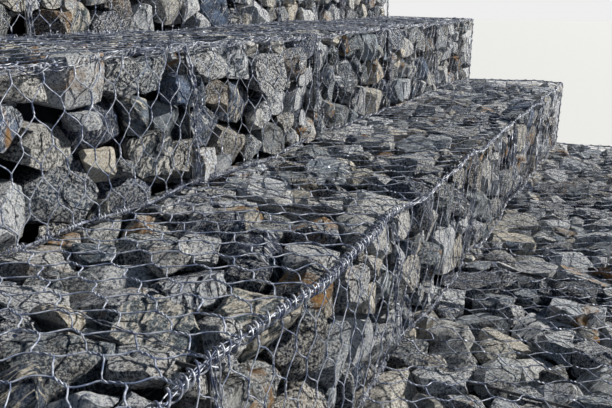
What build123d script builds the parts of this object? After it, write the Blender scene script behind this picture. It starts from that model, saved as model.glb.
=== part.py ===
from build123d import *
import os

# Gabion wall: four tiers of stone-filled wire baskets, stepped back at the front.
# X runs along the wall, -Y is the stepped front, +Z is up. Origin: middle of the base, on the ground.

# Driving dimensions, in millimetres
bay_count = 6
tier_count = 4
bay_length = 1000.0        # seam to seam along the wall
tier_height = 500.0
ledge_depth = 785.0        # how far each tier steps back from the one below
top_depth = 1000.0         # front to back, top tier
face_bulge = 26.0          # how far the stones push a face out in mid-panel
face_bow = 36.0            # rise of its plan outline, which slopes the panel back towards its seams
lid_crown = 14.0           # how far they push up the ledges and the top
lid_bow = 20.0             # rise of a lid's outline along the wall
stone_length = 333.0       # the big stones of the front and the lids, along them
hidden_length = 480.0      # and of the back and the ends
stone_course = 250.0       # height of a course of them
ledge_course = 392.0       # on ledges and the top they lie flat, this far front to back
joint_width = 104.0        # open joints between them, at the basket's planes
level_depth = 42.0
upright_depth = 30.0
joint_wander = 34.0        # how far a joint strays from an even grid
joint_overrun = 60.0       # how far it runs out past the edges of its face
bond_share = 1 / 6         # upright joints of one course stand this share of a stone to one side
pattern_step = 31          # sets one face's pattern of joints apart from the next one's
edge_chamfer = 15.0        # rounding of a filled basket along its edges
bundle_size = 12.0         # edge wires laced together, across the flats
wrap_size = 16.0           # lacing wound around them, across the flats
wrap_length = 26.0         # each tight run of lacing, along the bundle
wrap_pitch = 500.0
diaphragm_thickness = 4.0  # wire mesh wall between two bays
diaphragm_bar = 10.0       # width of the selvedge band around a diaphragm
diaphragm_pitch = 800.0    # spacing of the upright wires that are modelled in it

# Worked out from them
wall_length = bay_count * bay_length
base_depth = top_depth + (tier_count - 1) * ledge_depth
back_y = base_depth / 2
half_diagonal = bundle_size / 2**0.5
half_gap = diaphragm_thickness / 2
golden_share = (5**0.5 - 1) / 2
wraps = round(wall_length / wrap_pitch)
# Where a bundle turned on edge rests on the chamfers: along a rail, at an upright corner, in a seam
rail_outset = 2 * half_diagonal - edge_chamfer
corner_inset = (edge_chamfer - half_diagonal) / 2
wrap_outset = (wrap_size - bundle_size) / 2 / 2**0.5
seam_inset = edge_chamfer + half_gap - half_diagonal


def front_y(tier):
    """Front plane of a tier, counted from 0 at the bottom."""
    return -base_depth / 2 + tier * ledge_depth


def seam_x(seam):
    """Plane of a seam, counted from 0 at the left end."""
    return (seam - bay_count / 2) * bay_length


def crowned_edge(start, end, rise):
    """A side of an outline that stands out in its middle, or a straight one if it has no rise."""
    if rise == 0:
        return Line(start, end)
    (start_u, start_v), (end_u, end_v) = start, end
    run_u, run_v = end_u - start_u, end_v - start_v
    run = (run_u**2 + run_v**2) ** 0.5
    middle = ((start_u + end_u) / 2 + rise * run_v / run, (start_v + end_v) / 2 - rise * run_u / run)
    return Polyline(start, middle, end)


def basket_outline(low_u, high_u, low_v, high_v, rises):
    """Chamfered box outline, anticlockwise from its lower side; rises gives each side's bow."""
    cut = edge_chamfer
    corners = [
        ((low_u + cut, low_v), (high_u - cut, low_v)),
        ((high_u, low_v + cut), (high_u, high_v - cut)),
        ((high_u - cut, high_v), (low_u + cut, high_v)),
        ((low_u, high_v - cut), (low_u, low_v + cut)),
    ]
    for side, (start, end) in enumerate(corners):
        crowned_edge(start, end, rises[side])
        Line(end, corners[(side + 1) % 4][0])


def wander(step):
    """A length within the joints' wander that jumps about evenly as step counts up."""
    return joint_wander * (2 * (step * golden_share % 1) - 1)


def open_joint(face, depth, start, end):
    """A V-shaped joint between big stones, along a line drawn on a face of the basket."""
    run = face.from_local_coords((*end, 0)) - face.from_local_coords((*start, 0))
    spread = 1 + joint_overrun / depth
    with BuildSketch(Plane(face.from_local_coords((*start, 0)), x_dir=face.z_dir, z_dir=run)) as section:
        with BuildLine():
            Polyline(
                (-depth, 0),
                (joint_overrun, -spread * joint_width / 2),
                (joint_overrun, spread * joint_width / 2),
                close=True,
            )
        make_face()
    return extrude(section.sketch, amount=run.length, mode=Mode.PRIVATE)


def open_joints(face, length, height, stone, course, pattern, stops_inside=False):
    """Parts a face into big stones: level joints right across it, and upright ones within each course."""
    columns, rows = round(length / stone), round(height / course)
    step = pattern * pattern_step
    past = 0 if stops_inside else joint_overrun
    levels = [(-joint_overrun, -joint_overrun)]
    joints = []
    for row in range(1, rows):
        low_v = row * height / rows + wander(step)
        high_v = row * height / rows + wander(step + 1)
        step += 2
        levels.append((low_v, high_v))
        joints.append(open_joint(face, level_depth, (-joint_overrun, low_v), (length + joint_overrun, high_v)))
    levels.append((height + past, height + past))
    for row in range(rows):
        shift = stone * (bond_share if row % 2 else -bond_share)
        for column in range(1, columns):
            low_u = column * length / columns + shift + wander(step)
            high_u = column * length / columns + shift + wander(step + 1)
            step += 2
            ends = []
            for u, (left, right) in ((low_u, levels[row]), (high_u, levels[row + 1])):
                ends.append((u, left + (right - left) * u / length))
            joints.append(open_joint(face, upright_depth, *ends))
    add(joints, mode=Mode.SUBTRACT)


def rock_fill(tier, is_end):
    """The stones of the first basket of a tier, or of one that has a neighbour each side.

    A crowned block, cut in turn by its plan, its front outline and its side outline, then parted by open joints.
    """
    low_z = tier * tier_height
    high_z = low_z + tier_height
    near_y = front_y(tier)
    low_x = seam_x(0) if is_end else seam_x(1) + half_gap
    high_x = seam_x(1 if is_end else 2) - half_gap
    end_bulge, end_bow = (face_bulge, face_bow) if is_end else (0, 0)
    is_top = tier == tier_count - 1
    ledge_end = back_y - edge_chamfer if is_top else front_y(tier + 1) - edge_chamfer
    with BuildPart() as fill:
        with BuildSketch(Plane.XY.offset(low_z)):
            with BuildLine():
                basket_outline(low_x, high_x, near_y, back_y, (face_bow, 0, face_bow, end_bow))
            make_face()
        extrude(amount=tier_height + lid_bow)
        with BuildSketch(Plane.XZ.offset(-back_y - face_bow)):
            with BuildLine():
                basket_outline(low_x, high_x, low_z, high_z, (0, 0, lid_bow, end_bulge))
            make_face()
        extrude(amount=base_depth + 2 * face_bow, mode=Mode.INTERSECT)
        with BuildSketch(Plane.YZ.offset(low_x - face_bulge)):
            with BuildLine():
                cut = edge_chamfer
                Line((back_y - cut, low_z), (near_y + cut, low_z))
                Line((near_y + cut, low_z), (near_y, low_z + cut))
                crowned_edge((near_y, high_z - cut), (near_y, low_z + cut), face_bulge)
                Line((near_y, high_z - cut), (near_y + cut, high_z))
                crowned_edge((ledge_end, high_z), (near_y + cut, high_z), lid_crown)
                if not is_top:
                    Line((ledge_end, high_z), (back_y - cut, high_z))
                Line((back_y - cut, high_z), (back_y, high_z - cut))
                crowned_edge((back_y, low_z + cut), (back_y, high_z - cut), face_bulge)
                Line((back_y, low_z + cut), (back_y - cut, low_z))
            make_face()
        extrude(amount=bay_length + 2 * face_bulge, mode=Mode.INTERSECT)
        length, depth = high_x - low_x, back_y - near_y
        front_face = Plane((low_x, near_y, low_z), x_dir=(1, 0, 0), z_dir=(0, -1, 0))
        back_face = Plane((high_x, back_y, low_z), x_dir=(-1, 0, 0), z_dir=(0, 1, 0))
        lid_face = Plane((low_x, near_y, high_z), x_dir=(1, 0, 0), z_dir=(0, 0, 1))
        end_face = Plane((low_x, back_y, low_z), x_dir=(0, -1, 0), z_dir=(-1, 0, 0))
        pattern = 4 * (2 * tier + is_end)
        open_joints(front_face, length, tier_height, stone_length, stone_course, pattern)
        open_joints(back_face, length, tier_height, hidden_length, stone_course, pattern + 1)
        open_joints(lid_face, length, ledge_end - near_y, stone_length, ledge_course, pattern + 2, not is_top)
        if is_end:
            open_joints(end_face, depth, tier_height, hidden_length, stone_course, pattern + 3)
    return fill.part


def bundle(start, end, size=bundle_size):
    """One laced bundle of edge wires: a bar of square section turned on edge."""
    run = Vector(*end) - Vector(*start)
    upright = abs(run.Z) > 0
    lie = Vector(1, 0, 0) if upright else Vector(0, 0, 1)
    with BuildSketch(Plane(origin=start, x_dir=lie, z_dir=run)) as section:
        Rectangle(size, size, rotation=45)
    return extrude(section.sketch, amount=run.length, mode=Mode.PRIVATE)


def wire_cage(tier):
    """All edge wires of one tier's row of baskets, joined where they meet, with the lacing along the step."""
    foot_z = tier * tier_height + half_diagonal
    head_z = (tier + 1) * tier_height - half_diagonal
    near_y, far_y = front_y(tier) - rail_outset, back_y + rail_outset
    end_x = wall_length / 2 + rail_outset
    corner_x = wall_length / 2 - corner_inset
    with BuildPart() as cage:
        bars = []
        for rail_z in (foot_z, head_z):
            for rail_y in (near_y, far_y):
                bars.append(bundle((-end_x, rail_y, rail_z), (end_x, rail_y, rail_z)))
            for rail_x in (-end_x, end_x):
                bars.append(bundle((rail_x, near_y, rail_z), (rail_x, far_y, rail_z)))
        for post_x in (-corner_x, corner_x):
            for post_y in (front_y(tier) + corner_inset, back_y - corner_inset):
                bars.append(bundle((post_x, post_y, foot_z), (post_x, post_y, head_z)))
        for seam in range(1, bay_count):
            for post_y in (front_y(tier) + seam_inset, back_y - seam_inset):
                bars.append(bundle((seam_x(seam), post_y, foot_z), (seam_x(seam), post_y, head_z)))
            lid_z = (tier + 1) * tier_height - seam_inset
            bars.append(bundle((seam_x(seam), near_y, lid_z), (seam_x(seam), far_y, lid_z)))
        for wrap in range(wraps):
            # set out from the bundle so that the lacing rests on the same chamfer
            low_x = (wrap + 0.5) * wrap_pitch - wall_length / 2 - wrap_length / 2
            wrap_y, wrap_z = near_y - wrap_outset, head_z + wrap_outset
            bars.append(bundle((low_x, wrap_y, wrap_z), (low_x + wrap_length, wrap_y, wrap_z), wrap_size))
        add(bars)
    return cage.part


def diaphragm_set(tier):
    """The mesh walls between the bays of one tier, with their selvedge and main upright wires."""
    margin = edge_chamfer + half_gap
    low_z, high_z = tier * tier_height + margin, (tier + 1) * tier_height - margin
    near_y, far_y = front_y(tier) + margin, back_y - margin
    depth, height = far_y - near_y, high_z - low_z
    cells = max(1, round(depth / diaphragm_pitch))
    cell_width = (depth - diaphragm_bar) / cells
    with BuildPart() as walls:
        for seam in range(1, bay_count):
            middle = ((near_y + far_y) / 2, (low_z + high_z) / 2)
            with BuildSketch(Plane.YZ.offset(seam_x(seam) - half_gap)):
                with Locations(middle):
                    Rectangle(depth, height)
                    with GridLocations(cell_width, 1, cells, 1):
                        Rectangle(
                            cell_width - diaphragm_bar, height - 2 * diaphragm_bar, mode=Mode.SUBTRACT
                        )
            extrude(amount=diaphragm_thickness)
    return walls.part


os.makedirs("parts", exist_ok=True)

for tier in range(tier_count):
    end_fill, inner_fill = rock_fill(tier, True), rock_fill(tier, False)
    turned_fill = mirror(inner_fill, about=Plane.YZ.offset(seam_x(1) + bay_length / 2))
    fills = [end_fill]
    for bay in range(1, bay_count - 1):
        fills.append(Pos((bay - 1) * bay_length, 0, 0) * (turned_fill if bay % 2 else inner_fill))
    fills.append(mirror(end_fill, about=Plane.YZ))
    for bay, fill_part in enumerate(fills, 1):
        fill_part.label = f"rock_fill_t{tier + 1}_b{bay}"
        export_step(fill_part, f"parts/{fill_part.label}.step")
    cage_part = wire_cage(tier)
    cage_part.label = f"wire_cage_tier_{tier + 1}"
    export_step(cage_part, f"parts/{cage_part.label}.step")
    walls_part = diaphragm_set(tier)
    walls_part.label = f"diaphragms_tier_{tier + 1}"
    export_step(walls_part, f"parts/{walls_part.label}.step")
    print("tier", tier + 1, "written")
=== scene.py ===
# Stepped gabion wall: quarry stones, hexagonal wire net, edge wires and lacing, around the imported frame.
import math
import bmesh
import bpy
import numpy as np
from mathutils import Matrix, Vector
from mathutils.bvhtree import BVHTree


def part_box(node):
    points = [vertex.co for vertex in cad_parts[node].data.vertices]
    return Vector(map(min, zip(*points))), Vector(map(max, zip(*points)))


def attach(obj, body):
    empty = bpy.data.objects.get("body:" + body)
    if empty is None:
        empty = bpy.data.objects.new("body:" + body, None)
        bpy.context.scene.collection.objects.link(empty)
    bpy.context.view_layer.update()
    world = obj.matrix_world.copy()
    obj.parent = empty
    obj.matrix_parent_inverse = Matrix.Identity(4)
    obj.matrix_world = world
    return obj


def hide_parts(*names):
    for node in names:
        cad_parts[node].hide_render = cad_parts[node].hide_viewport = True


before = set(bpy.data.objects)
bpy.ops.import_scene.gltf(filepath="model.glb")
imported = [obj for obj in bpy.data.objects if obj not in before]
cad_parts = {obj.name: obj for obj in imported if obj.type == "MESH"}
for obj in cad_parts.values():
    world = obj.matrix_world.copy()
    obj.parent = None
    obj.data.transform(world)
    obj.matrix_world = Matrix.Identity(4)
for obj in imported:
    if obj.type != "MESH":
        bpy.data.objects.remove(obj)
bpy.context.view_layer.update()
scene = bpy.context.scene


def linkObject(name, data):
    piece = bpy.data.objects.new(name, data)
    scene.collection.objects.link(piece)
    return piece


# The wall, as the frame gives it: the edge wires stand out this far from the panels' planes
wallSizes = {"railReach": 0.0105, "frontReach": 0.0146}


def readWall():
    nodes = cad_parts
    tierCount = sum(name.startswith("wire_cage_tier_") for name in nodes)
    bayCount = sum(name.startswith("rock_fill_t1_b") for name in nodes)
    tiers = []
    for tier in range(1, tierCount + 1):
        low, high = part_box(f"wire_cage_tier_{tier}")
        reach = wallSizes["railReach"]
        tiers.append({
            "front": low.y + wallSizes["frontReach"], "back": high.y - reach, "lidEnd": high.y - reach,
            "left": low.x + reach, "right": high.x - reach, "foot": low.z, "head": high.z,
        })
    for at, above in zip(tiers, tiers[1:]):   # a ledge ends where the next tier's front stands on it
        at["head"] = above["foot"]
        at["lidEnd"] = above["front"]
    length = tiers[0]["right"] - tiers[0]["left"]
    return {"tiers": tiers, "bayCount": bayCount, "bay": length / bayCount, "length": length}


wall = readWall()
tiers = wall["tiers"]
print("wall read:", len(tiers), "tiers,", wall["bayCount"], "bays")

# Camera: at eye level, standing over the lowest ledge near the left end and looking along the wall
cameraSizes = {
    "fromEnd": 0.10, "beforeTierTwo": 0.66, "height": 1.66, "yaw": 27.5, "pitch": -17.2,
    "focalPixels": 658.0, "imageWidth": 612.0, "sensorWidth": 36.0, "clipStart": 0.05,
}


def placeCamera():
    yaw, pitch = math.radians(cameraSizes["yaw"]), math.radians(cameraSizes["pitch"])
    look = Vector((math.cos(pitch) * math.cos(yaw), math.cos(pitch) * math.sin(yaw), math.sin(pitch)))
    side = look.cross(Vector((0, 0, 1))).normalized()
    up = side.cross(look)
    data = bpy.data.cameras.new("photoCamera")
    camera = linkObject("photoCamera", data)
    camera.matrix_world = Matrix((side, up, -look)).transposed().to_4x4()
    camera.location = (
        tiers[0]["left"] + cameraSizes["fromEnd"],
        tiers[1]["front"] - cameraSizes["beforeTierTwo"],
        cameraSizes["height"],
    )
    data.sensor_width = cameraSizes["sensorWidth"]
    data.lens = cameraSizes["sensorWidth"] * cameraSizes["focalPixels"] / cameraSizes["imageWidth"]
    data.clip_start = cameraSizes["clipStart"]
    scene.camera = camera
    return np.array(camera.location)


eye = placeCamera()


# Shared helpers

def meshObject(name, points, faces):
    mesh = bpy.data.meshes.new(name)
    mesh.from_pydata(points.tolist(), [], faces.tolist())
    return linkObject(name, mesh)


def unit(vectors):
    return vectors / np.linalg.norm(vectors, axis=-1, keepdims=True)


def slowWave(along, seed, lengths):
    # A wandering line of height about 1, the same for the same seed
    rng = np.random.default_rng(seed)
    total = np.zeros_like(along, float)
    for span in lengths:
        total += span ** 0.5 * np.sin(2 * math.pi * (along / span + rng.random()))
    return total / sum(span ** 0.5 for span in lengths)


# Faces of the wall that show: each has a corner, two directions along it and the outward one

edgeSizes = {
    "sway": 0.018, "rise": 0.013,          # how far the laced edges wander from straight
    "waves": (1.9, 0.83, 0.41),            # lengths of the waves that make the wander
    "fade": 0.22,                          # and over what length they come back to the wall's corners
    "pinch": 0.024, "pinchLength": 0.13,   # each seam holds the front edges back over this length
    "footLift": 0.012, "footRise": 0.5,    # the lowest edge wires lie on the floor and rise less
    "stepLift": 0.020, "stepOut": 0.016,   # and a step's foot on the stones of the ledge below
}
edgeSeeds = {"front": 11, "back": 23, "left": 37, "right": 53, "joint": 101, "stepHead": 50}


def edgeSway(side, tier, level, along):
    # Outward and upward wander of a laced edge at these world places along it, none at the wall's corners
    at = tiers[tier]
    low, high = (at["left"], at["right"]) if side in ("front", "back") else (at["front"], at["back"])
    window = np.clip(np.minimum(along - low, high - along) / edgeSizes["fade"], 0, 1)
    joint = tier + (level == "head")   # one basket's head is the next one's foot, but for the steps in front
    seed = edgeSeeds[side] + edgeSeeds["joint"] * joint
    if side == "front" and level == "head":
        seed += edgeSeeds["stepHead"]
    outward = edgeSizes["sway"] * slowWave(along, seed, edgeSizes["waves"]) * window
    upward = edgeSizes["rise"] * slowWave(along, seed + 1, edgeSizes["waves"]) * window
    if side == "front":
        bays = (along - low) / wall["bay"]
        fromSeam = np.abs(bays - np.rint(bays)) * wall["bay"]
        outward -= edgeSizes["pinch"] * np.exp(-(fromSeam / edgeSizes["pinchLength"]) ** 2) * window
    if joint == 0:
        upward = np.abs(upward) * edgeSizes["footRise"] + edgeSizes["footLift"]
    elif side == "front" and level == "foot":
        outward = outward + edgeSizes["stepOut"] * window
        upward = upward + edgeSizes["stepLift"] * window
    return outward, upward


def wallFaces():
    # Each side's name, its outward direction, the direction along it, and the corner where that starts
    sides = (
        ("front", (0, -1, 0), (1, 0, 0), "left", "front"),
        ("back", (0, 1, 0), (-1, 0, 0), "right", "back"),
        ("left", (-1, 0, 0), (0, -1, 0), "left", "back"),
        ("right", (1, 0, 0), (0, 1, 0), "right", "front"),
        ("lid", (0, 0, 1), (1, 0, 0), "left", "front"),
    )
    faces = []
    for tier, at in enumerate(tiers):
        for side, normal, uAxis, startX, startY in sides:
            isLid = side == "lid"
            faces.append({
                "tier": tier, "side": side, "name": f"{side}_tier_{tier + 1}",
                "normal": np.array(normal, float), "uAxis": np.array(uAxis, float),
                "vAxis": np.array((0, 1, 0) if isLid else (0, 0, 1), float),
                "corner": np.array((at[startX], at[startY], at["head" if isLid else "foot"]), float),
                "width": wall["length"] if uAxis[0] else at["back"] - at["front"],
                "height": at["lidEnd"] - at["front"] if isLid else at["head"] - at["foot"],
            })
    return faces


def panelBase(face, u, v):
    # Points of a panel before the stones push it out: a sheet stretched between its two wandering edges
    tier, side = face["tier"], face["side"]
    share = v / face["height"]
    points = face["corner"] + np.outer(u, face["uAxis"]) + np.outer(v, face["vAxis"])
    along = points @ np.abs(face["uAxis"])
    if side == "lid":
        isTop = tier == len(tiers) - 1
        lowSway = edgeSway("front", tier, "head", along)
        highEdge = ("back", tier, "head") if isTop else ("front", tier + 1, "foot")
        highSway = edgeSway(*highEdge, along)
        lowOut = np.array([0.0, -1, 0])
        highOut = -lowOut if isTop else lowOut
    else:
        lowSway = edgeSway(side, tier, "foot", along)
        highSway = edgeSway(side, tier, "head", along)
        lowOut = highOut = face["normal"]
    points += ((1 - share) * lowSway[0])[:, None] * lowOut + (share * highSway[0])[:, None] * highOut
    points[:, 2] += (1 - share) * lowSway[1] + share * highSway[1]
    return points


# Stones: each basket is packed by itself, big stones first, and every stone is cut by its neighbours

stoneSizes = {   # lengths in metres, and shares of a stone's size
    "stages": ((0.098, 0.122, 420), (0.076, 0.096, 700), (0.055, 0.074, 1000), (0.040, 0.050, 600)),
    "flatness": 1.22,           # stones lie flat: heights count for more than widths
    "crowding": 0.89,           # centres this close, as a share of the two sizes together
    "seam": 0.003,              # stones stay this clear of the seam between two baskets
    "underStep": 0.07,          # a ledge's stones go on this far under the next tier
    "jointGap": 0.0040,
    "depth": (0.42, 1.0),       # how deep a stone's middle lies, as a share of its size
    "cornerWithin": 1.6,        # so near to another open side, as a share of its size, it faces both
    "neighbours": 1.9,          # others cut it from up to this many times the two sizes away
    "reach": 2.2,               # and sides of the basket from up to this many times its own size
    "recess": (-0.006, 0.028),  # how far its outer face stays behind the solid's surface
    "tilt": 0.20,
    "alongSurface": 0.85,       # it follows the surface, but not where that is the wall of an open joint
    "proud": 0.010,             # no corner of it stands out further than this
    "shoulders": 3,             # up to this many slopes around the outer face
    "shoulderLean": (0.35, 0.85),
    "shoulderStart": (0.10, 0.62),   # how far from the middle a slope starts, as a share of its size
    "shoulderSpread": 0.25,     # how unevenly the slopes stand around it
    "lowest": 0.001,            # nothing reaches into the floor
    "nearWithin": 1.7, "middleWithin": 3.6,   # distances from the camera at which stones get plainer
    "turnedBack": 0.5, "turnedToEnd": 0.9,    # stones that face the back or an end are plain too
    "creaseAngle": 26.0,
    "seed": 4021, "tierSeed": 100,
}
blockSizes = {   # the rough block that each stone is before its neighbours cut it
    "halves": ((0.98, 1.38), (0.80, 1.08), (0.60, 0.90)),   # half length, width and height
    "lean": 0.26, "sideTilt": 0.16, "sideSpan": (0.84, 1.08),
    "cornerTilt": 0.3, "cornerCut": (0.55, 0.95), "thinnest": 0.16,
    "sharpness": (34, 120),     # how crisp the edges between its faces are
    "lumps": ((0.0032, 6, 0.075), (0.0017, 8, 0.030), (0.0009, 9, 0.014)),   # height, waves, length
    "lumpSpread": (0.7, 1.4),   # the waves are this much shorter or longer
    "lumpLevels": {"near": 3, "middle": 2, "far": 1},
}
pointSizes = {   # points over a stone: how far apart they are, and where they are thinned out
    "spacing": {"near": 0.012, "middle": 0.029, "far": 0.072},
    "cornersApart": 0.35, "clearOfEdges": 0.62,   # shares of the spacing
    "hiddenEdge": -0.5, "hiddenStep": 3,
    "hiddenFace": -0.45, "hiddenEvery": 7,
    "density": 12.6, "fewest": 8, "most": 900,
}


def closedHull(points):
    # Convex hull of some points: its corners, its triangles, and the two triangles at each edge
    hull = bmesh.new()
    for point in points:
        hull.verts.new(point)
    bmesh.ops.convex_hull(hull, input=hull.verts)
    bmesh.ops.delete(hull, geom=[vert for vert in hull.verts if not vert.link_faces], context="VERTS")
    bmesh.ops.recalc_face_normals(hull, faces=hull.faces)
    hull.verts.index_update()
    hull.faces.index_update()
    corners = np.array([vert.co for vert in hull.verts])
    faces = np.array([[vert.index for vert in face.verts] for face in hull.faces])
    shared = [edge.link_faces for edge in hull.edges if len(edge.link_faces) == 2]
    pairs = np.array([[face.index for face in both] for both in shared])
    hull.free()
    return corners, faces, pairs


def planeCorners(normals, distances):
    # Corners and edges of the solid that planes cut out around the origin, by way of its dual
    poles, faces, pairs = closedHull(normals / distances[:, None])
    systems = poles[faces]
    good = np.abs(np.linalg.det(systems)) > 1e-6
    corners = np.zeros((len(faces), 3))
    corners[good] = np.linalg.solve(systems[good], np.ones((int(good.sum()), 3, 1)))[..., 0]
    pairs = pairs[good[pairs].all(1)]
    return corners[good], corners[pairs[:, 0]], corners[pairs[:, 1]]


def thinOut(points, least):
    # Keeps points in order, dropping each that is too near to one already kept
    kept = []
    for point in points:
        if not kept or np.min(np.sum((np.array(kept) - point) ** 2, 1)) > least ** 2:
            kept.append(point)
    return np.array(kept)


def sphereSpots(count):
    height = 1 - 2 * (np.arange(count) + 0.5) / count
    angle = np.arange(count) * math.pi * (3 - 5 ** 0.5)
    ring = np.sqrt(1 - height ** 2)
    return np.stack((ring * np.cos(angle), ring * np.sin(angle), height), 1)


def stoneDirections(normals, distances, facing, spacing):
    # Directions to a broken stone's corners, along its edges and over its faces, fewer on its hidden side
    corners, starts, ends = planeCorners(normals, distances)
    points = list(thinOut(corners, pointSizes["cornersApart"] * spacing))
    for start, end in zip(starts, ends):
        isHidden = (start + end) @ facing < pointSizes["hiddenEdge"] * np.linalg.norm(start + end)
        step = spacing * (pointSizes["hiddenStep"] if isHidden else 1)
        count = int(np.linalg.norm(end - start) / step)
        if count:
            shares = np.arange(1, count + 1)[:, None] / (count + 1)
            points.extend(start + (end - start) * shares)
    crease = unit(np.array(points))
    wanted = pointSizes["density"] * (np.mean(distances) / spacing) ** 2
    spots = sphereSpots(int(np.clip(wanted, pointSizes["fewest"], pointSizes["most"])))
    kept = np.arange(len(spots)) % pointSizes["hiddenEvery"] == 0
    spots = spots[(spots @ facing > pointSizes["hiddenFace"]) | kept]
    radius = 1 / np.max(spots @ normals.T / distances, 1)
    creaseRadius = 1 / np.max(crease @ normals.T / distances, 1)
    gaps = spots[:, None] * radius[:, None, None] - crease[None] * creaseRadius[None, :, None]
    clear = np.min(np.sum(gaps ** 2, 2), 1) > (pointSizes["clearOfEdges"] * spacing) ** 2
    return np.vstack((crease, spots[clear]))


def turnTowards(direction, rng):
    # A random turn whose Z axis points along direction
    across = unit(np.cross(direction, rng.normal(size=3)))
    return np.stack((across, np.cross(direction, across), direction), 1)


def basketSides(tier, bay):
    at, seam = tiers[tier], stoneSizes["seam"]
    low = np.array([at["left"] + bay * wall["bay"] + seam, at["front"], at["foot"]])
    high = np.array([at["left"] + (bay + 1) * wall["bay"] - seam, at["back"], at["head"]])
    return low, high


def exposedFaces(tier, bay, low, high):
    # The open sides of a basket, as (axis, side, low corner, high corner)
    lidHigh = high.copy()
    lidHigh[1] = min(high[1], tiers[tier]["lidEnd"] + stoneSizes["underStep"])
    openFaces = [(1, -1, low, high), (1, 1, low, high), (2, 1, low, lidHigh)]
    if bay == 0:
        openFaces.append((0, -1, low, high))
    if bay == wall["bayCount"] - 1:
        openFaces.append((0, 1, low, high))
    return openFaces


def solidTree(tier, bay):
    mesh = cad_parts[f"rock_fill_t{tier + 1}_b{bay + 1}"].data
    corners = [vert.co for vert in mesh.vertices]
    return BVHTree.FromPolygons(corners, [face.vertices for face in mesh.polygons])


def surfaceAt(solid, axis, side, spot):
    # Where a line straight in from outside meets the basket's solid, and its direction there
    start = Vector(spot)
    start[axis] += side
    inward = Vector((0, 0, 0))
    inward[axis] = -side
    hit, normal, _index, _distance = solid.ray_cast(start, inward)
    return (None, None) if hit is None else (hit[axis], np.array(normal))


def scatterStones(tier, bay, rng, solid):
    # Centres, sizes and outward directions of the stones of one basket
    low, high = basketSides(tier, bay)
    squash = np.array([1, 1, stoneSizes["flatness"]])
    centres, sizes, facing = np.empty((0, 3)), np.empty(0), []
    for smallest, largest, tries in stoneSizes["stages"]:
        for axis, side, faceLow, faceHigh in exposedFaces(tier, bay, low, high):
            span = faceHigh - faceLow
            area = np.prod(np.delete(span, axis))
            for _ in range(int(area * tries)):
                size = rng.uniform(smallest, largest)
                centre = faceLow + rng.random(3) * span
                depth = size * rng.uniform(*stoneSizes["depth"])
                centre[axis] = (faceHigh if side > 0 else faceLow)[axis]
                surface, _normal = surfaceAt(solid, axis, side, centre)
                if surface is None:
                    continue
                centre[axis] = surface - side * depth
                least = stoneSizes["depth"][0] * size
                if np.any(centre < low + least) or np.any(centre > high - least):
                    continue
                if len(sizes):
                    apart = np.linalg.norm((centres - centre) * squash, axis=1)
                    if np.any(apart < stoneSizes["crowding"] * (sizes + size)):
                        continue
                centres, sizes = np.vstack((centres, centre)), np.append(sizes, size)
                outward = np.zeros(3)
                near = stoneSizes["cornerWithin"] * size
                for otherAxis, otherSide, _low, otherHigh in exposedFaces(tier, bay, low, high):
                    edge = otherHigh[otherAxis] if otherSide > 0 else low[otherAxis]
                    outward[otherAxis] += otherSide * (abs(centre[otherAxis] - edge) < near)
                if not outward.any():
                    outward[axis] = side
                facing.append(outward / np.linalg.norm(outward))
    return centres, sizes, np.array(facing)


def shoulderPlanes(normal, gap, size, rng):
    # Slopes around a stone's outer face: the light catches one and leaves the next in shade
    turn = turnTowards(normal, rng)
    first = rng.uniform(0, 2 * math.pi)
    count = rng.integers(0, stoneSizes["shoulders"] + 1)
    normals, distances = [], []
    spread = stoneSizes["shoulderSpread"]
    for step in range(count):
        angle = first + 2 * math.pi * (step + rng.uniform(-spread, spread)) / count
        lean = rng.uniform(*stoneSizes["shoulderLean"])
        across = turn[:, 0] * math.cos(angle) + turn[:, 1] * math.sin(angle)
        start = size * rng.uniform(*stoneSizes["shoulderStart"])
        normals.append(normal * math.cos(lean) + across * math.sin(lean))
        distances.append(gap * math.cos(lean) + start * math.sin(lean))
    return normals, distances


def blockPlanes(size, rng):
    # A rough block lying about flat, with its corners broken off
    normals, distances = [], []
    block = turnTowards(unit(np.array([0, 0, 1.0]) + rng.normal(size=3) * blockSizes["lean"]), rng)
    halves = size * np.array([rng.uniform(*span) for span in blockSizes["halves"]])
    for axis in range(3):
        for side in (-1, 1):
            normals.append(unit(block[:, axis] * side + rng.normal(size=3) * blockSizes["sideTilt"]))
            distances.append(halves[axis] * rng.uniform(*blockSizes["sideSpan"]))
    for corner in range(8):
        signs = np.array([1 if corner >> bit & 1 else -1 for bit in range(3)])
        tilt = rng.normal(size=3) * blockSizes["cornerTilt"]
        normals.append(unit(block @ (signs / halves) * size + tilt))
        distances.append(np.linalg.norm(halves) * rng.uniform(*blockSizes["cornerCut"]))
    return normals, distances


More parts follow.
